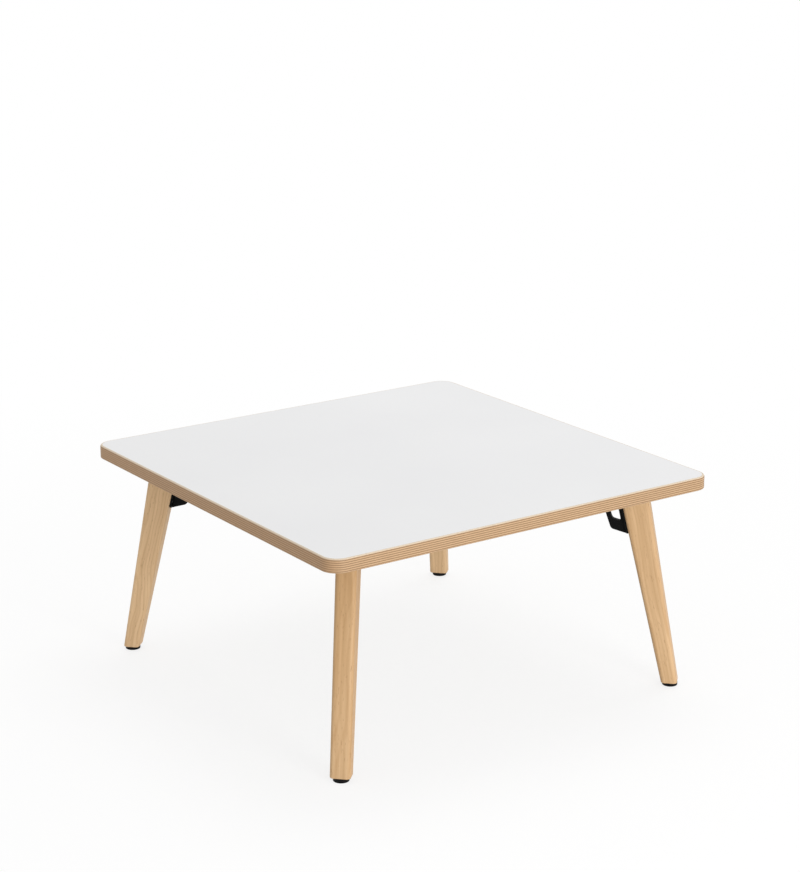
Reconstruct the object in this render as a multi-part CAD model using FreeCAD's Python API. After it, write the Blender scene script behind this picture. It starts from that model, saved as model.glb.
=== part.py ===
import FreeCAD, Part
import math
import os

# Low square table with a laminate-faced plywood top and four splayed, tapered wooden legs.
# Each leg hangs from a black hinge at its inner side and folds flat under the top, along the diagonal.
# Millimetres, +Z up. The origin is on the floor under the middle of the top.
# A corner's pieces are built with x running out along its diagonal and y across the leg, then turned.
Vector = FreeCAD.Vector
UP = Vector(0, 0, 1)
ACROSS = Vector(0, 1, 0)
ORIGIN = Vector(0, 0, 0)
FULL_TURN = 360
CORNER_NAMES = ["back_right", "back_left", "front_left", "front_right"]
QUARTER_TURN = FULL_TURN / len(CORNER_NAMES)
CORNERS = {name: QUARTER_TURN / 2 + index * QUARTER_TURN for index, name in enumerate(CORNER_NAMES)}

# Table top
SIDE = 900.0
HEIGHT = 450.0
TOP_T = 27.0
TOP_CORNER_R = 34.0
TOP_ARRIS_R = 4.0
UNDER_ARRIS_R = 1.5
SHEET_T = 1.0
BACKER_T = 0.8
LIP_W = 4.6

# Leg, placed on its diagonal from the top's square corner
LEG_TOP_INSET = 154.9
LEG_FOOT_INSET = 69.6
LEG_TOP_DEPTH = 58.0
LEG_FOOT_DEPTH = 33.0
LEG_W = 40.0
LEG_EDGE_R = 8.0
LEG_FOOT_EASE = 1.5

# Glide under the foot
GLIDE_R = 15.5
GLIDE_H = 8.0
GLIDE_CHAMFER = 0.4
GLIDE_SEAT = 2.5
GLIDE_OUT = 0.8
GLIDE_SCREW_L = 24.0

# Hinge arm, with distances off the leg's inner face and down along it from the underside
ARM_T = 10.0
ARM_LENGTH = 105.2
ARM_NOSE_OFF = 33.8
ARM_NOSE_DOWN = 88.9
ARM_NOSE_R = 10.0
ARM_BEND_BELOW_PIVOT = 27.2
ARM_BEND_R = 40.0
FLANGE_T = 4.0
FLANGE_W = 27.0
FLANGE_END_R = 7.5
WINDOW_LEG_BAR = 10.4
WINDOW_NOSE_BAR = 8.4
WINDOW_SILL_BAR = 24.0
WINDOW_HUB_BAR = 16.0
WINDOW_R = 3.0
WINDOW_NOSE_R = 9.0
ARM_SCREW_ROWS = 3
ARM_SCREW_END = 15.0
ARM_SCREW_L = 28.0

# Detent cam at the head of the arm, and the leaf spring that rests on its two flats
CAM_FLAT = 24.0
CAM_R = 21.5
SPRING_T = 1.0
SPRING_W = 9.0
SPRING_DROP = 2.0
SPRING_FIXED_IN = 57.0
SPRING_BEND_IN = 38.0
SPRING_FLAT_IN = 18.0
SPRING_TIP_GAP = 1.2
RIVET_IN = 47.5
RIVET_R = 2.0
RIVET_HEAD_R = 3.6
RIVET_HEAD_H = 1.4
RIVET_FLARE_R = 3.0
RIVET_FLARE_H = 1.2

# Hinge base under the top
PLATE_T = 3.0
PLATE_W = 56.0
PLATE_IN = 63.0
PLATE_LEG_GAP = 2.5
PLATE_R = 6.0
PLATE_SCREW_EDGE = 9.0
PLATE_SCREW_COVER = 6.0
EAR_T = 3.0
EAR_R = 8.5
EAR_IN = 26.0
EAR_FLANGE_GAP = 0.7

# Pivot
PIN_R = 4.0
PIN_PLAY = 0.05
PIN_HEAD_R = 6.5
PIN_HEAD_H = 2.5
PIN_TAIL = 2.4
PIN_CHAMFER = 0.6
WASHER_R = 8.0
WASHER_T = 0.95
SIDE_PLAY = 0.05
CLIP_R = 6.5
CLIP_T = 1.1
CLIP_PLAY = 0.1
CLIP_GROOVE_R = 3.0
CLIP_MOUTH_W = 4.4

# Countersunk wood screw
SCREW_R = 1.75
SCREW_HEAD_R = 3.25
SCREW_HEAD_H = 1.8
SCREW_TIP = 4.0
RECESS_L = 3.8
RECESS_W = 0.9
RECESS_D = 1.1

# Lines and heights that several pieces share
UNDERSIDE = HEIGHT - TOP_T
CORNER_OUT = SIDE / math.sqrt(2)
LEG_TOP_OUT = CORNER_OUT - LEG_TOP_INSET
LEG_FOOT_OUT = CORNER_OUT - LEG_FOOT_INSET
FACE_TOP = Vector(LEG_TOP_OUT - LEG_TOP_DEPTH / 2, 0, UNDERSIDE)
FACE_FOOT = Vector(LEG_FOOT_OUT - LEG_FOOT_DEPTH / 2, 0, GLIDE_H)
DOWN_FACE = (FACE_FOOT - FACE_TOP).normalize()
OFF_FACE = Vector(DOWN_FACE.z, 0, -DOWN_FACE.x)
PLATE_UNDER = UNDERSIDE - PLATE_T
SPRING_UNDER = PLATE_UNDER - SPRING_T
CAM_TOP = SPRING_UNDER - SPRING_DROP
PIVOT_OFF = FLANGE_T + EAR_FLANGE_GAP + EAR_R
PIVOT_DOWN = (CAM_TOP - CAM_FLAT - UNDERSIDE - PIVOT_OFF * OFF_FACE.z) / DOWN_FACE.z
PIVOT = FACE_TOP + OFF_FACE * PIVOT_OFF + DOWN_FACE * PIVOT_DOWN
EAR_INNER = ARM_T / 2 + SIDE_PLAY + WASHER_T
EAR_OUTER = EAR_INNER + EAR_T
PLATE_IN_X = PIVOT.x - PLATE_IN
PLATE_OUT_X = FACE_TOP.x - PLATE_LEG_GAP
PLATE_SCREW_L = PLATE_T + TOP_T - SHEET_T - PLATE_SCREW_COVER


def outline(corners):
    """Closed wire through (point, radius) corners, each rounded by its own radius."""
    stretches = []
    for index, (point, radius) in enumerate(corners):
        back = (corners[index - 1][0] - point).normalize()
        ahead = (corners[(index + 1) % len(corners)][0] - point).normalize()
        half = back.getAngle(ahead) / 2
        run = radius / math.tan(half)
        middle = point + (back + ahead).normalize() * (radius / math.sin(half) - radius)
        stretches.append((point + back * run, middle, point + ahead * run, radius))
    edges = []
    for index, (start, middle, finish, radius) in enumerate(stretches):
        if radius > 0:
            edges.append(Part.Arc(start, middle, finish).toShape())
        edges.append(Part.LineSegment(finish, stretches[(index + 1) % len(stretches)][0]).toShape())
    return Part.Wire(edges)


def slab(corners, thickness):
    """Plate of an x-z outline, centred across the leg."""
    face = Part.Face(outline(corners))
    face.translate(ACROSS * (-thickness / 2))
    return face.extrude(ACROSS * thickness)


def rounded_block(x_low, x_high, y_low, y_high, z_low, z_high, radius):
    """Upright block with its four standing edges rounded."""
    places = [(x_low, y_low), (x_high, y_low), (x_high, y_high), (x_low, y_high)]
    corners = [(Vector(x, y, z_low), radius) for x, y in places]
    return Part.Face(outline(corners)).extrude(UP * (z_high - z_low))


def turned(profile):
    """Solid of revolution about z from (radius, height) points."""
    points = [Vector(radius, 0, height) for radius, height in profile]
    return Part.Face(Part.makePolygon(points + points[:1])).revolve(ORIGIN, UP, FULL_TURN)


def ring(inner, outer, thickness):
    return Part.makeCylinder(outer, thickness).cut(Part.makeCylinder(inner, thickness))


def aimed(shape, place, direction):
    """Copy of a piece made along z, moved to its place and aimed along a direction."""
    moved = shape.copy()
    moved.Placement = FreeCAD.Placement(place, FreeCAD.Rotation(UP, direction))
    return moved


def on_arm(off, down):
    """Point in the arm's plane from its distances off the leg's face and down along it."""
    return FACE_TOP + OFF_FACE * off + DOWN_FACE * down


def screw_body(length):
    """Wood screw along z without its driver recess, with the head's face at the origin."""
    return turned([(0, 0), (SCREW_HEAD_R, 0), (SCREW_R, SCREW_HEAD_H),
                   (SCREW_R, length - SCREW_TIP), (0, length)])


def screw(length):
    bar = Part.makeBox(RECESS_L, RECESS_W, RECESS_D, Vector(-RECESS_L / 2, -RECESS_W / 2, 0))
    cross_bar = Part.makeBox(RECESS_W, RECESS_L, RECESS_D, Vector(-RECESS_W / 2, -RECESS_L / 2, 0))
    return screw_body(length).cut(bar.fuse(cross_bar))


def arm_screw_places():
    """Rows of two on the flange, one each side of the blade, as (point, direction)."""
    first = FLANGE_TOP_DOWN + ARM_SCREW_END
    last = ARM_LENGTH - ARM_SCREW_END
    pitch = (last - first) / (ARM_SCREW_ROWS - 1)
    aside = (ARM_T / 2 + FLANGE_W / 2) / 2
    places = []
    for row in range(ARM_SCREW_ROWS):
        for side in (-aside, aside):
            places.append((on_arm(FLANGE_T, first + row * pitch) + ACROSS * side, OFF_FACE * -1))
    return places


def plate_screw_places():
    """One near each corner of the hinge plate, as (point, direction)."""
    places = []
    for x in (PLATE_IN_X + PLATE_SCREW_EDGE, PLATE_OUT_X - PLATE_SCREW_EDGE):
        for y in (PLATE_SCREW_EDGE - PLATE_W / 2, PLATE_W / 2 - PLATE_SCREW_EDGE):
            places.append((Vector(x, y, PLATE_UNDER), UP))
    return places


def glide_screw_places():
    return [(Vector(LEG_FOOT_OUT + GLIDE_OUT, 0, GLIDE_SEAT), UP)]


def every(shape, places):
    return Part.makeCompound([aimed(shape, place, direction) for place, direction in places])


# The flange ends level with the cam's upper flat
FLANGE_TOP_DOWN = (CAM_TOP - UNDERSIDE - FLANGE_T * OFF_FACE.z) / DOWN_FACE.z


def make_leg():
    """Tapered, splayed leg of solid wood with rounded edges, cut level at both ends."""
    ends = [(LEG_FOOT_OUT, LEG_FOOT_DEPTH, GLIDE_H), (LEG_TOP_OUT, LEG_TOP_DEPTH, UNDERSIDE)]
    sections = []
    for middle, depth, z in ends:
        low = middle - depth / 2
        high = middle + depth / 2
        places = [(low, -LEG_W / 2), (high, -LEG_W / 2), (high, LEG_W / 2), (low, LEG_W / 2)]
        sections.append(outline([(Vector(x, y, z), LEG_EDGE_R) for x, y in places]))
    leg = Part.makeLoft(sections, True, True)
    foot_edges = [edge for edge in leg.Edges if edge.BoundBox.ZMax < GLIDE_H + LEG_FOOT_EASE]
    leg = leg.makeFillet(LEG_FOOT_EASE, foot_edges)
    leg = leg.cut(every(screw_body(ARM_SCREW_L), arm_screw_places()))
    return leg.cut(every(screw_body(GLIDE_SCREW_L), glide_screw_places()))


def make_arm():
    """Cast arm: a flange on the leg's inner face and a windowed blade that ends in the detent cam."""
    flat_off = PIVOT_OFF + CAM_FLAT
    bend_down = PIVOT_DOWN + ARM_BEND_BELOW_PIVOT
    edge_slope = (ARM_NOSE_OFF - flat_off) / (ARM_NOSE_DOWN - bend_down)
    lower_slope = (ARM_NOSE_DOWN - ARM_LENGTH) / (ARM_NOSE_OFF - FLANGE_T)
    root = FLANGE_T / 2
    cam_down = (CAM_TOP - UNDERSIDE - flat_off * OFF_FACE.z) / DOWN_FACE.z
    root_top_down = (CAM_TOP - UNDERSIDE - root * OFF_FACE.z) / DOWN_FACE.z
    blade = slab([(on_arm(root, ARM_LENGTH), 0),
                  (on_arm(FLANGE_T, ARM_LENGTH), 0),
                  (on_arm(ARM_NOSE_OFF, ARM_NOSE_DOWN), ARM_NOSE_R),
                  (on_arm(flat_off, bend_down), ARM_BEND_R),
                  (on_arm(flat_off, cam_down), CAM_R),
                  (on_arm(root, root_top_down), 0)], ARM_T)
    to_side = ACROSS * (FLANGE_W / 2)
    flange_outline = outline([(on_arm(0, FLANGE_TOP_DOWN) - to_side, 0),
                              (on_arm(0, ARM_LENGTH) - to_side, FLANGE_END_R),
                              (on_arm(0, ARM_LENGTH) + to_side, FLANGE_END_R),
                              (on_arm(0, FLANGE_TOP_DOWN) + to_side, 0)])
    flange = Part.Face(flange_outline).extrude(OFF_FACE * FLANGE_T)
    head_down = PIVOT_DOWN + WINDOW_HUB_BAR
    head_off = flat_off - WINDOW_NOSE_BAR
    sill_down = ARM_LENGTH - WINDOW_SILL_BAR + (WINDOW_LEG_BAR - FLANGE_T) * lower_slope
    nose_sill_off = head_off + edge_slope * (sill_down - bend_down)
    nose_sill_down = ARM_LENGTH - WINDOW_SILL_BAR + (nose_sill_off - FLANGE_T) * lower_slope
    window = slab([(on_arm(WINDOW_LEG_BAR, sill_down), WINDOW_R),
                   (on_arm(nose_sill_off, nose_sill_down), WINDOW_NOSE_R),
                   (on_arm(head_off, head_down), WINDOW_R),
                   (on_arm(WINDOW_LEG_BAR, head_down), WINDOW_R)], FLANGE_W)
    bore = Part.makeCylinder(PIN_R + PIN_PLAY, ARM_T, PIVOT - ACROSS * (ARM_T / 2), ACROSS)
    arm = blade.fuse(flange).cut(window).cut(bore).removeSplitter()
    return arm.cut(every(screw_body(ARM_SCREW_L), arm_screw_places()))


def make_hinge_base():
    """Steel plate under the top with two ears that straddle the arm's head."""
    half_w = PLATE_W / 2
    plate = rounded_block(PLATE_IN_X, PLATE_OUT_X, -half_w, half_w, PLATE_UNDER, UNDERSIDE, PLATE_R)
    leg_side = PIVOT - OFF_FACE * EAR_R
    leg_side_top = leg_side - DOWN_FACE * ((PLATE_UNDER - leg_side.z) / -DOWN_FACE.z)
    inner_top = Vector(PIVOT.x - EAR_IN, 0, PLATE_UNDER)
    reach = inner_top - PIVOT
    spread = math.acos(EAR_R / reach.Length)
    heading = math.atan2(reach.z, reach.x) + spread
    inner_side = PIVOT + Vector(math.cos(heading), 0, math.sin(heading)) * EAR_R
    cheek = slab([(leg_side_top, 0), (leg_side, 0), (PIVOT, 0), (inner_side, 0), (inner_top, 0)], EAR_T)
    knuckle = Part.makeCylinder(EAR_R, EAR_T, PIVOT - ACROSS * (EAR_T / 2), ACROSS)
    ear = cheek.fuse(knuckle).removeSplitter()
    base = plate
    for side in (-1, 1):
        moved = ear.copy()
        moved.translate(ACROSS * (side * (EAR_INNER + EAR_T / 2)))
        base = base.fuse(moved)
    base = base.cut(Part.makeCylinder(PIN_R, 2 * EAR_OUTER, PIVOT - ACROSS * EAR_OUTER, ACROSS))
    base = base.cut(every(screw_body(PLATE_SCREW_L), plate_screw_places()))
    return base.cut(make_rivet()).removeSplitter()


def make_pin():
    """Headed pivot pin through both ears, with a groove for its clip."""
    grip = PIN_HEAD_H + 2 * EAR_OUTER
    groove = grip + CLIP_T + CLIP_PLAY
    tip = groove + PIN_TAIL
    pin = turned([(0, 0), (PIN_HEAD_R, 0), (PIN_HEAD_R, PIN_HEAD_H), (PIN_R, PIN_HEAD_H), (PIN_R, grip),
                  (CLIP_GROOVE_R, grip), (CLIP_GROOVE_R, groove), (PIN_R, groove),
                  (PIN_R, tip - PIN_CHAMFER), (PIN_R - PIN_CHAMFER, tip), (0, tip)])
    return aimed(pin, PIVOT + ACROSS * (EAR_OUTER + PIN_HEAD_H), ACROSS * -1)


def make_clip():
    """Open spring clip in the pin's groove, against the far ear."""
    mouth = Part.makeBox(CLIP_MOUTH_W, CLIP_R, CLIP_T, Vector(-CLIP_MOUTH_W / 2, 0, 0))
    clip = ring(CLIP_GROOVE_R, CLIP_R, CLIP_T).cut(mouth)
    return aimed(clip, PIVOT - ACROSS * EAR_OUTER, ACROSS * -1)


def make_washers():
    """Two plastic washers that keep the arm off the ears."""
    washer = ring(PIN_R + PIN_PLAY, WASHER_R, WASHER_T)
    places = [(PIVOT + ACROSS * EAR_INNER, ACROSS * -1), (PIVOT - ACROSS * EAR_INNER, ACROSS)]
    return every(washer, places)


def make_spring():
    """Leaf spring, riveted to the plate at its inner end and pressing on the cam."""
    tip = on_arm(FLANGE_T, FLANGE_TOP_DOWN).x - SPRING_TIP_GAP
    path = [(PIVOT.x - SPRING_FIXED_IN, SPRING_UNDER), (PIVOT.x - SPRING_BEND_IN, SPRING_UNDER),
            (PIVOT.x - SPRING_FLAT_IN, CAM_TOP), (tip, CAM_TOP)]
    lower = [(Vector(x, 0, z), 0) for x, z in path]
    upper = [(Vector(x, 0, z + SPRING_T), 0) for x, z in reversed(path)]
    return slab(lower + upper, SPRING_W).cut(make_rivet())


def make_rivet():
    """Rivet with its head under the spring and its flared end flush with the plate."""
    flare = RIVET_HEAD_H + SPRING_T + PLATE_T - RIVET_FLARE_H
    rivet = turned([(0, 0), (RIVET_HEAD_R, 0), (RIVET_HEAD_R, RIVET_HEAD_H), (RIVET_R, RIVET_HEAD_H),
                    (RIVET_R, flare), (RIVET_FLARE_R, flare + RIVET_FLARE_H), (0, flare + RIVET_FLARE_H)])
    return aimed(rivet, Vector(PIVOT.x - RIVET_IN, 0, SPRING_UNDER - RIVET_HEAD_H), UP)


def make_glide():
    """Round plastic glide with a sunk seat for its screw."""
    glide = turned([(0, 0), (GLIDE_R - GLIDE_CHAMFER, 0), (GLIDE_R, GLIDE_CHAMFER),
                    (GLIDE_R, GLIDE_H), (0, GLIDE_H)])
    well = Part.makeCylinder(SCREW_HEAD_R, GLIDE_SEAT)
    glide = aimed(glide.cut(well), Vector(LEG_FOOT_OUT + GLIDE_OUT, 0, 0), UP)
    return glide.cut(every(screw_body(GLIDE_SCREW_L), glide_screw_places()))


def make_panel(inset, z_low, z_high):
    """Square panel with rounded corners, set in from the table's edge."""
    reach = SIDE / 2 - inset
    return rounded_block(-reach, reach, -reach, reach, z_low, z_high, TOP_CORNER_R - inset)


def at_corner(shape, angle):
    moved = shape.copy()
    moved.rotate(ORIGIN, UP, angle)
    return moved


def make_core(screw_holes):
    """Plywood core with eased arrises, rebated on both faces for the sheets."""
    core = make_panel(0, UNDERSIDE, HEIGHT)
    upper = [edge for edge in core.Edges if edge.BoundBox.ZMin > HEIGHT - TOP_T / 2]
    core = core.makeFillet(TOP_ARRIS_R, upper)
    lower = [edge for edge in core.Edges if edge.BoundBox.ZMax < UNDERSIDE + TOP_T / 2]
    core = core.makeFillet(UNDER_ARRIS_R, lower)
    core = core.cut(make_panel(LIP_W, HEIGHT - SHEET_T, HEIGHT))
    core = core.cut(make_panel(LIP_W, UNDERSIDE, UNDERSIDE + BACKER_T))
    return core.cut(screw_holes)


corner_pieces = {
    "leg": make_leg(),
    "hinge_arm": make_arm(),
    "arm_screws": every(screw(ARM_SCREW_L), arm_screw_places()),
    "hinge_base": make_hinge_base(),
    "base_screws": every(screw(PLATE_SCREW_L), plate_screw_places()),
    "pivot_pin": make_pin(),
    "pin_clip": make_clip(),
    "pivot_washers": make_washers(),
    "detent_spring": make_spring(),
    "spring_rivet": make_rivet(),
    "glide": make_glide(),
    "glide_screw": every(screw(GLIDE_SCREW_L), glide_screw_places()),
}
corner_holes = every(screw_body(PLATE_SCREW_L), plate_screw_places())
screw_holes = Part.makeCompound([at_corner(corner_holes, angle) for angle in CORNERS.values()])

nodes = {
    "top_core": make_core(screw_holes),
    "top_sheet": make_panel(LIP_W, HEIGHT - SHEET_T, HEIGHT),
    "under_sheet": make_panel(LIP_W, UNDERSIDE, UNDERSIDE + BACKER_T).cut(screw_holes),
}
for corner, angle in CORNERS.items():
    for piece, shape in corner_pieces.items():
        nodes[piece + "_" + corner] = at_corner(shape, angle)

os.makedirs("parts", exist_ok=True)
for name, shape in nodes.items():
    shape.exportStep("parts/" + name + ".step")
    print(name, len(shape.Solids), shape.isValid(), round(shape.Volume, 1))
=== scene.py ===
import math
import bpy
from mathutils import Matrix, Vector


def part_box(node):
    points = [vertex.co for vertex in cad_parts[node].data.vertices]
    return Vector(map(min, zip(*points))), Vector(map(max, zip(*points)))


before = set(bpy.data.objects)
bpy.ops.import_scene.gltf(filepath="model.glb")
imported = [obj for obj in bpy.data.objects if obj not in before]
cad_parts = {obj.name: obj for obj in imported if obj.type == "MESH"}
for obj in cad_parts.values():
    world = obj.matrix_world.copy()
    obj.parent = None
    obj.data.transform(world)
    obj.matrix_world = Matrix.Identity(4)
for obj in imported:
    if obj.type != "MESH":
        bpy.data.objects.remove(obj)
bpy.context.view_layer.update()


# The core of the top is a birch plywood board of thirteen plies, sawn square and rounded at its corners.
# Its edge stays bare under clear lacquer: plies that run along the edge show pale, and the crossed ones
# between them, cut through their end grain, show as darker lines, fainter on the left and right edges.
PLIES = 13
PLY_WANDER = 0.00018
FACE_PLY = 0.0026
GLUE_LEVEL = -0.3
SIDE_EVENNESS = 0.3
board_low, board_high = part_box("top_core")
ply_thickness = (board_high.z - board_low.z) / PLIES


def shade(red, green, blue):
    """A colour given as a screen shows it, from 0 to 255."""
    parts = [value / 255 for value in (red, green, blue)]
    return [p / 12.92 if p <= 0.04045 else ((p + 0.055) / 1.055) ** 2.4 for p in parts] + [1.0]


def new_finish(name):
    finish = bpy.data.materials.new(name)
    finish.use_nodes = True
    return finish


def add(finish, kind, feeds, **settings):
    """A node of a finish, with its sockets fed by other nodes or set to plain values."""
    tree = finish.node_tree
    node = tree.nodes.new("ShaderNode" + kind)
    for setting, value in settings.items():
        setattr(node, setting, value)
    for socket, feed in feeds.items():
        if isinstance(feed, bpy.types.NodeSocket):
            tree.links.new(feed, node.inputs[socket])
        else:
            node.inputs[socket].default_value = feed
    return node


def reckon(finish, operation, first, second=0.0, third=0.0):
    return add(finish, "Math", {0: first, 1: second, 2: third}, operation=operation).outputs[0]


def reckon_vector(finish, operation, first, second):
    return add(finish, "VectorMath", {0: first, 1: second}, operation=operation).outputs[0]


def share_between(finish, value, low, high):
    """0 where a value is under low, 1 where it is over high, with a soft step from one to the other."""
    feeds = {"Value": value, "From Min": low, "From Max": high}
    return add(finish, "MapRange", feeds, interpolation_type="SMOOTHSTEP").outputs[0]


def lumps(finish, place, per_metre, detail):
    """Cloudy noise, with so many lumps to the metre along each axis."""
    spread = reckon_vector(finish, "MULTIPLY", place, per_metre)
    return add(finish, "TexNoise", {"Vector": spread, "Scale": 1.0, "Detail": detail}).outputs[0]


def mixed(finish, share, first, second):
    """A colour between two, through the colour sockets of a mix node."""
    return add(finish, "Mix", {0: share, 6: first, 7: second}, data_type="RGBA").outputs[2]


def roughness_from(finish, value, smooth, rough):
    feeds = {"Value": value, "To Min": smooth, "To Max": rough}
    return add(finish, "MapRange", feeds).outputs[0]


def lay_on(finish, colour, roughness, relief, depth, shine=0.5, metal=0.0):
    """Feeds a finish's colour, roughness and relief, so many metres deep, and sets its shine."""
    shader = finish.node_tree.nodes["Principled BSDF"]
    bump = add(finish, "Bump", {"Strength": 1.0, "Distance": depth, "Height": relief})
    for socket, feed in (("Base Color", colour), ("Roughness", roughness), ("Normal", bump.outputs[0])):
        finish.node_tree.links.new(feed, shader.inputs[socket])
    shader.inputs["Specular IOR Level"].default_value = shine
    shader.inputs["Metallic"].default_value = metal


def coat(names, finish):
    for name in names:
        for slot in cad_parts[name].material_slots:
            slot.material = finish


GLUE_BROWN = shade(132, 96, 65)
SIDE_BROWN = shade(183, 143, 106)
RIM_CREAM_AND_HIGHLIGHT = shade(218, 202, 180)
ARRIS_PAINTED_SHADE = shade(112, 92, 74)
UNDERSIDE_TAN = shade(196, 163, 126)
birch_ply = new_finish("birch_ply")
coordinates = add(birch_ply, "TexCoord", {})
place = coordinates.outputs["Object"]
facing = add(birch_ply, "SeparateXYZ", {0: coordinates.outputs["Normal"]})
height = add(birch_ply, "SeparateXYZ", {0: place}).outputs["Z"]
wander = lumps(birch_ply, place, per_metre=(9, 9, 60), detail=3.0)
wander = reckon(birch_ply, "MULTIPLY_ADD", wander, 2 * PLY_WANDER, -PLY_WANDER - board_low.z)
ply_count = reckon(birch_ply, "DIVIDE", reckon(birch_ply, "ADD", height, wander), ply_thickness)
wave = reckon(birch_ply, "SINE", reckon(birch_ply, "MULTIPLY", ply_count, math.pi))
along_grain = lumps(birch_ply, place, per_metre=(35, 35, 1600), detail=5.0)
end_grain = lumps(birch_ply, place, per_metre=(1500, 1500, 900), detail=2.0)
pale_ply = mixed(birch_ply, along_grain, shade(190, 155, 118), shade(222, 188, 149))
crossed_ply = mixed(birch_ply, end_grain, shade(136, 101, 69), shade(174, 138, 103))
is_pale = share_between(birch_ply, wave, low=-0.6, high=0.0)
plies = mixed(birch_ply, is_pale, crossed_ply, pale_ply)
from_glue = reckon(birch_ply, "ABSOLUTE", reckon(birch_ply, "SUBTRACT", wave, GLUE_LEVEL))
beside_glue = share_between(birch_ply, from_glue, low=0.0, high=0.16)
edge_colour = mixed(birch_ply, beside_glue, GLUE_BROWN, plies)
to_side = share_between(birch_ply, reckon(birch_ply, "ABSOLUTE", facing.outputs["X"]), low=0.3, high=0.9)
evenness = reckon(birch_ply, "MULTIPLY", to_side, SIDE_EVENNESS)
edge_colour = mixed(birch_ply, evenness, edge_colour, SIDE_BROWN)
# The top face ply is painted pale cream: partly the paler face veneer and partly a painted highlight on the
# rounded upper arris.
face_ply_and_painted_highlight = share_between(birch_ply, height, low=board_high.z - FACE_PLY, high=board_high.z - FACE_PLY / 4)
edge_colour = mixed(birch_ply, face_ply_and_painted_highlight, edge_colour, RIM_CREAM_AND_HIGHLIGHT)
# The lowest part of the edge is painted darker brown: painted shade on the lower rounded arris.
above_painted_arris_shade = share_between(birch_ply, height, low=board_low.z, high=board_low.z + FACE_PLY / 2)
edge_colour = mixed(birch_ply, above_painted_arris_shade, ARRIS_PAINTED_SHADE, edge_colour)
downward = reckon(birch_ply, "MULTIPLY", facing.outputs["Z"], -1.0)
turned_down = share_between(birch_ply, downward, low=0.7, high=0.95)
edge_colour = mixed(birch_ply, turned_down, edge_colour, UNDERSIDE_TAN)
pores = reckon(birch_ply, "MULTIPLY", end_grain, is_pale)
roughness = roughness_from(birch_ply, end_grain, smooth=0.42, rough=0.58)
lay_on(birch_ply, edge_colour, roughness, pores, depth=0.00006, shine=0.3)
coat(["top_core"], birch_ply)


# The face of the table is a white decorative laminate, pressed and glued onto the core.
# It lies flush inside a thin rim of birch, and has the faint, even pebble of a matt press plate.
def on_piece(finish):
    """A place on a piece in metres, which rides along when the piece moves."""
    return add(finish, "TexCoord", {}).outputs["Object"]


white_laminate = new_finish("white_laminate")
place = on_piece(white_laminate)
cloud = lumps(white_laminate, place, per_metre=(3, 3, 3), detail=4.0)
pebble = lumps(white_laminate, place, per_metre=(1400, 1400, 1400), detail=2.0)
face_colour = mixed(white_laminate, cloud, shade(235, 235, 236), shade(241, 241, 241))
roughness = roughness_from(white_laminate, pebble, smooth=0.72, rough=0.86)
lay_on(white_laminate, face_colour, roughness, pebble, depth=0.00002, shine=0.06)
coat(["top_sheet"], white_laminate)


# Under the top a plain backing sheet of paper laminate is glued on, so that the board stays flat.
# It is an even off-white with a little fibre in it, and the hinges are screwed up through it.
FIBRE_TAN = shade(190, 180, 166)
backing_paper = new_finish("backing_paper")
place = on_piece(backing_paper)
mottle = lumps(backing_paper, place, per_metre=(40, 40, 40), detail=5.0)
fibre = lumps(backing_paper, place, per_metre=(180, 1100, 600), detail=4.0)
sheet_colour = mixed(backing_paper, mottle, shade(206, 200, 190), shade(226, 221, 212))
is_fibre = share_between(backing_paper, fibre, low=0.58, high=0.72)
sheet_colour = mixed(backing_paper, is_fibre, sheet_colour, FIBRE_TAN)
roughness = roughness_from(backing_paper, fibre, smooth=0.6, rough=0.75)
lay_on(backing_paper, sheet_colour, roughness, fibre, depth=0.00003)
coat(["under_sheet"], backing_paper)


# A hinge base holds each leg near its corner: a steel plate with two ears, pressed and welded.
# It is powder coated black, which leaves a fine satin orange peel.
CORNERS = ("back_right", "back_left", "front_left", "front_right")


def at_each_corner(piece):
    return [piece + "_" + corner for corner in CORNERS]


black_powder_coat = new_finish("black_powder_coat")
place = on_piece(black_powder_coat)
peel = lumps(black_powder_coat, place, per_metre=(950, 950, 950), detail=2.0)
dust = lumps(black_powder_coat, place, per_metre=(60, 60, 60), detail=4.0)
coat_colour = mixed(black_powder_coat, dust, shade(9, 9, 10), shade(15, 15, 16))
roughness = roughness_from(black_powder_coat, dust, smooth=0.46, rough=0.62)
lay_on(black_powder_coat, coat_colour, roughness, peel, depth=0.00008, shine=0.08)
coat(at_each_corner("hinge_base"), black_powder_coat)


# Four countersunk wood screws hold each hinge base up into the plywood.
# They are cold headed from steel wire and zinc plated, with a cross recess.
zinc_plate = new_finish("zinc_plate")
place = on_piece(zinc_plate)
spangle = lumps(zinc_plate, place, per_metre=(420, 420, 420), detail=4.0)
scratches = lumps(zinc_plate, place, per_metre=(2600, 300, 900), detail=3.0)
zinc_colour = mixed(zinc_plate, spangle, shade(168, 170, 172), shade(206, 207, 206))
roughness = roughness_from(zinc_plate, scratches, smooth=0.26, rough=0.48)
lay_on(zinc_plate, zinc_colour, roughness, scratches, depth=0.00002, metal=1.0)
coat(at_each_corner("base_screws"), zinc_plate)


# The pivot pin, its open clip and the rivet of the spring are turned or punched from plain bright steel.
# The pin is pushed through both ears and the clip snaps into the groove at its end.
bright_steel = new_finish("bright_steel")
place = on_piece(bright_steel)
tooling = lumps(bright_steel, place, per_metre=(1800, 1800, 1800), detail=3.0)
oil = lumps(bright_steel, place, per_metre=(90, 90, 90), detail=3.0)
steel_colour = mixed(bright_steel, oil, shade(148, 147, 145), shade(190, 189, 187))
roughness = roughness_from(bright_steel, oil, smooth=0.2, rough=0.38)
lay_on(bright_steel, steel_colour, roughness, tooling, depth=0.00001, metal=1.0)
for piece in ("pivot_pin", "pin_clip", "spring_rivet"):
    coat(at_each_corner(piece), bright_steel)


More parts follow.
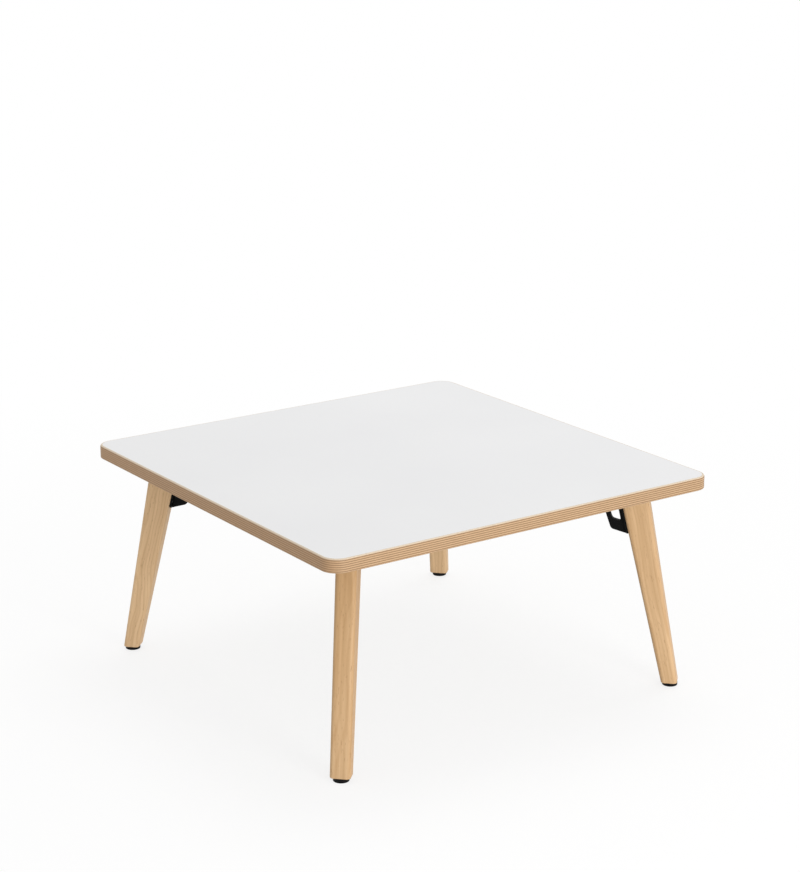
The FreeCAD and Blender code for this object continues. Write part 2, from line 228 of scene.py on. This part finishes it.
# Two washers of milky nylon keep the arm off the ears and take up the side play.
# They are punched from sheet and slipped over the pin.
nylon = new_finish("nylon")
place = on_piece(nylon)
haze = lumps(nylon, place, per_metre=(320, 320, 320), detail=3.0)
nylon_colour = mixed(nylon, haze, shade(214, 210, 198), shade(232, 229, 219))
roughness = roughness_from(nylon, haze, smooth=0.38, rough=0.52)
lay_on(nylon, nylon_colour, roughness, haze, depth=0.00003)
coat(at_each_corner("pivot_washers"), nylon)


# A leaf spring, riveted to the hinge base, presses on a flat of the arm and holds the leg open or folded.
# It is cut from hardened strip, left with the blue-grey colour of its tempering.
tempered_strip = new_finish("tempered_strip")
place = on_piece(tempered_strip)
temper = lumps(tempered_strip, place, per_metre=(70, 70, 70), detail=4.0)
rolling = lumps(tempered_strip, place, per_metre=(2200, 2200, 120), detail=3.0)
strip_colour = mixed(tempered_strip, temper, shade(74, 80, 92), shade(104, 104, 110))
roughness = roughness_from(tempered_strip, rolling, smooth=0.28, rough=0.44)
lay_on(tempered_strip, strip_colour, roughness, rolling, depth=0.00001, metal=1.0)
coat(at_each_corner("detent_spring"), tempered_strip)


# The hinge arm is one black piece: a flange against the leg's inner face and a blade with a window.
# It is cast, then powder coated like the base, and swings on the pin between the ears.
coat(at_each_corner("hinge_arm"), black_powder_coat)


# The legs are tapered from solid beech, rounded along their edges, sanded and lacquered.
# The grain runs down each leg, with short ray flecks, and no two legs are sawn alike; their tones also
# carry painted light, and their tops a painted shadow of the table top.
LEAN = math.radians(-11.62)
RING_WIDTH = 0.0052
GRAIN_SWAY = (0.03, 0.02, 0)
RINGS_DRAWN_OUT = (1, 1, 0.06)
LATE_WOOD_SHARE = 0.22
GRAIN_SHARE = 0.22
FLECK_SHARE = 0.4
LATE_WOOD_BROWN = shade(190, 146, 98)
GRAIN_BROWN = shade(176, 130, 86)
FLECK_BROWN = shade(150, 106, 68)
TURN = {"back_right": 45, "back_left": 135, "front_left": 225, "front_right": 315}
HEART_OUT = {"back_right": 0.09, "back_left": -0.06, "front_left": 0.07, "front_right": -0.1}
HEART_ASIDE = {"back_right": 0.03, "back_left": -0.07, "front_left": -0.05, "front_right": 0.08}
# Each leg is made paler or darker as a whole: partly its own tone and partly painted light, which makes the
# legs shaded by the top paler and the front leg darker.
TONE_AND_PAINTED_LIGHT_BY = {"back_right": 0.38, "back_left": 0.33, "front_left": -0.25, "front_right": -0.03}
# Each leg is also painted darker towards its top: a painted shadow of the table top, strongest on the front
# leg.
PAINTED_TOP_SHADOW = {"back_right": 0.0, "back_left": 0.15, "front_left": 0.9, "front_right": 0.2}


def make_beech(corner):
    beech = new_finish("beech_" + corner)
    low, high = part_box("leg_" + corner)
    turn = (0, LEAN, math.radians(TURN[corner]))
    feeds = {"Vector": on_piece(beech), "Location": (low + high) / 2, "Rotation": turn}
    in_leg = add(beech, "Mapping", feeds, vector_type="TEXTURE").outputs[0]
    sway = lumps(beech, in_leg, per_metre=(14, 14, 5), detail=2.0)
    swayed = reckon_vector(beech, "MULTIPLY", sway, GRAIN_SWAY)
    heart = (HEART_OUT[corner], HEART_ASIDE[corner], 0)
    from_heart = reckon_vector(beech, "ADD", reckon_vector(beech, "ADD", in_leg, heart), swayed)
    drawn_out = reckon_vector(beech, "MULTIPLY", from_heart, RINGS_DRAWN_OUT)
    radius = add(beech, "VectorMath", {0: drawn_out}, operation="LENGTH").outputs["Value"]
    rings = reckon(beech, "SINE", reckon(beech, "MULTIPLY", radius, 2 * math.pi / RING_WIDTH))
    late_wood = share_between(beech, rings, low=0.2, high=1.0)
    streaks = lumps(beech, from_heart, per_metre=(130, 130, 3.5), detail=4.0)
    fine_grain = lumps(beech, from_heart, per_metre=(1100, 1100, 26), detail=4.0)
    rays = lumps(beech, from_heart, per_metre=(700, 420, 70), detail=1.0)
    flecks = share_between(beech, rays, low=0.66, high=0.74)
    along = add(beech, "SeparateXYZ", {0: in_leg}).outputs["Z"]
    # Painted shadow of the table top: darker towards the leg's top, paler towards its foot.
    shadow_from_top = reckon(beech, "MULTIPLY", along, -PAINTED_TOP_SHADOW[corner])
    paleness_and_painted_light = reckon(beech, "ADD", reckon(beech, "ADD", streaks, TONE_AND_PAINTED_LIGHT_BY[corner]), shadow_from_top)
    colour = mixed(beech, paleness_and_painted_light, shade(198, 159, 113), shade(246, 210, 165))
    colour = mixed(beech, reckon(beech, "MULTIPLY", late_wood, LATE_WOOD_SHARE), colour, LATE_WOOD_BROWN)
    colour = mixed(beech, reckon(beech, "MULTIPLY", fine_grain, GRAIN_SHARE), colour, GRAIN_BROWN)
    colour = mixed(beech, reckon(beech, "MULTIPLY", flecks, FLECK_SHARE), colour, FLECK_BROWN)
    roughness = roughness_from(beech, fine_grain, smooth=0.42, rough=0.58)
    lay_on(beech, colour, roughness, fine_grain, depth=0.00004, shine=0.25)
    return beech


for corner in CORNERS:
    coat(["leg_" + corner], make_beech(corner))


# Six wood screws, three rows of two, draw each arm's flange tight against its leg.
# They are of the same zinc plated steel as those of the base, with their heads sunk flush.
coat(at_each_corner("arm_screws"), zinc_plate)


# A round black glide under each foot keeps the wood off the floor, moulded in hard plastic.
# One screw up through its sunk seat holds it, and the rim is dulled by sliding.
WORN_GREY = shade(38, 37, 36)
glide_plastic = new_finish("glide_plastic")
place = on_piece(glide_plastic)
grime = lumps(glide_plastic, place, per_metre=(150, 150, 150), detail=4.0)
height = add(glide_plastic, "SeparateXYZ", {0: place}).outputs["Z"]
above_wear = share_between(glide_plastic, height, low=0.0002, high=0.0018)
worn = reckon(glide_plastic, "SUBTRACT", 1.0, above_wear)
dulled = reckon(glide_plastic, "MULTIPLY", worn, grime)
plastic_colour = mixed(glide_plastic, grime, shade(9, 9, 10), shade(17, 17, 17))
plastic_colour = mixed(glide_plastic, dulled, plastic_colour, WORN_GREY)
roughness = roughness_from(glide_plastic, grime, smooth=0.4, rough=0.6)
lay_on(glide_plastic, plastic_colour, roughness, grime, depth=0.00005, shine=0.1)
coat(at_each_corner("glide"), glide_plastic)
coat(at_each_corner("glide_screw"), zinc_plate)


# The table stands on a plain white studio floor that runs out of sight, under an even white room.
# The floor is matt and takes the soft shadow. From below it can be looked through.
FLOOR_REACH = 60.0
FLOOR_GREY = shade(214, 214, 214)
WHITE = (1, 1, 1, 1)
WHITE_NEAR = 0.8
WHITE_FROM = 0.7
ALL_WHITE_FROM = 2.4
ROOM_LIGHT = 0.66
floor_corners = [(-FLOOR_REACH, -FLOOR_REACH, 0), (FLOOR_REACH, -FLOOR_REACH, 0),
                 (FLOOR_REACH, FLOOR_REACH, 0), (-FLOOR_REACH, FLOOR_REACH, 0)]
floor_mesh = bpy.data.meshes.new("floor")
floor_mesh.from_pydata(floor_corners, [], [(0, 1, 2, 3)])
floor = bpy.data.objects.new("floor", floor_mesh)
bpy.context.scene.collection.objects.link(floor)


def looked_at(finish):
    """1 for what the camera sees, also in gloss or through glass, and 0 for light on the pieces."""
    path = add(finish, "LightPath", {})
    seen = reckon(finish, "MAXIMUM", path.outputs["Is Camera Ray"], path.outputs["Is Glossy Ray"])
    return reckon(finish, "MAXIMUM", seen, path.outputs["Is Transmission Ray"])


white_floor = new_finish("white_floor")
matt = add(white_floor, "BsdfDiffuse", {"Color": FLOOR_GREY})
white = add(white_floor, "BsdfDiffuse", {"Color": WHITE})
glow = add(white_floor, "Emission", {"Color": WHITE, "Strength": 1.0})
place = on_piece(white_floor)
from_table = add(white_floor, "VectorMath", {0: place}, operation="LENGTH").outputs["Value"]
feeds = {"Value": from_table, "From Min": WHITE_FROM, "From Max": ALL_WHITE_FROM, "To Min": WHITE_NEAR}
glow_share = add(white_floor, "MapRange", feeds, interpolation_type="SMOOTHSTEP").outputs[0]
shown = add(white_floor, "MixShader", {0: glow_share, 1: white.outputs[0], 2: glow.outputs[0]})
lit = add(white_floor, "MixShader", {0: looked_at(white_floor), 1: matt.outputs[0], 2: shown.outputs[0]})
clear = add(white_floor, "BsdfTransparent", {})
beneath = add(white_floor, "NewGeometry", {}).outputs["Backfacing"]
either_side = add(white_floor, "MixShader", {0: beneath, 1: lit.outputs[0], 2: clear.outputs[0]})
floor_end = white_floor.node_tree.nodes["Material Output"]
white_floor.node_tree.links.new(either_side.outputs[0], floor_end.inputs["Surface"])
floor_mesh.materials.append(white_floor)

room = bpy.data.worlds.new("room")
room.use_nodes = True
bpy.context.scene.world = room
room_glow = room.node_tree.nodes["Background"]
room_glow.inputs["Color"].default_value = WHITE
room_glow.inputs["Strength"].default_value = ROOM_LIGHT
room_shown = add(room, "Background", {"Color": WHITE, "Strength": 1.0})
room_mix = add(room, "MixShader", {0: looked_at(room), 1: room_glow.outputs[0], 2: room_shown.outputs[0]})
room.node_tree.links.new(room_mix.outputs[0], room.node_tree.nodes["World Output"].inputs["Surface"])


# Two soft boxes light the table: a low one straight in front that reaches in under the top,
# and a wide one high overhead for the white face.
def hang_lamp(name, place, aim, side, watts):
    box = bpy.data.lights.new(name, "AREA")
    box.shape = "SQUARE"
    box.size = side
    box.energy = watts
    lamp = bpy.data.objects.new(name, box)
    bpy.context.scene.collection.objects.link(lamp)
    lamp.location = place
    toward = [there - here for there, here in zip(aim, place)]
    flat = math.hypot(toward[0], toward[1])
    lamp.rotation_euler = (math.atan2(flat, -toward[2]), 0, math.atan2(-toward[0], toward[1]))


hang_lamp("front_lamp", place=(0, -4.6, 1.0), aim=(0, 0, 0.3), side=1.6, watts=94)
hang_lamp("over_lamp", place=(1.5, 0.9, 5.0), aim=(0, 0, 0.4), side=3.0, watts=73)


# The camera stands a little above the table, off its front left corner, and looks down at it.
# Its angle and framing are the photo's, with the lens shifted so that its axis meets the picture
# a little above the middle.
PHOTO_HIGH = 872
FOCAL_PIXELS = 2268.5
DROP_PIXELS = 36
FILM_SIDE = 36
CAMERA_PLACE = (-2.5123, -3.6215, 1.7923)
LOOKS_DOWN = 15.46
STANDS_ROUND = -34.86
lens = bpy.data.cameras.new("camera")
lens.sensor_width = FILM_SIDE
lens.lens = FILM_SIDE * FOCAL_PIXELS / PHOTO_HIGH
lens.shift_y = -DROP_PIXELS / PHOTO_HIGH
camera = bpy.data.objects.new("camera", lens)
bpy.context.scene.collection.objects.link(camera)
camera.location = CAMERA_PLACE
camera.rotation_euler = (math.radians(90 - LOOKS_DOWN), 0, math.radians(STANDS_ROUND))
bpy.context.scene.camera = camera
bpy.context.scene.view_settings.view_transform = "Standard"
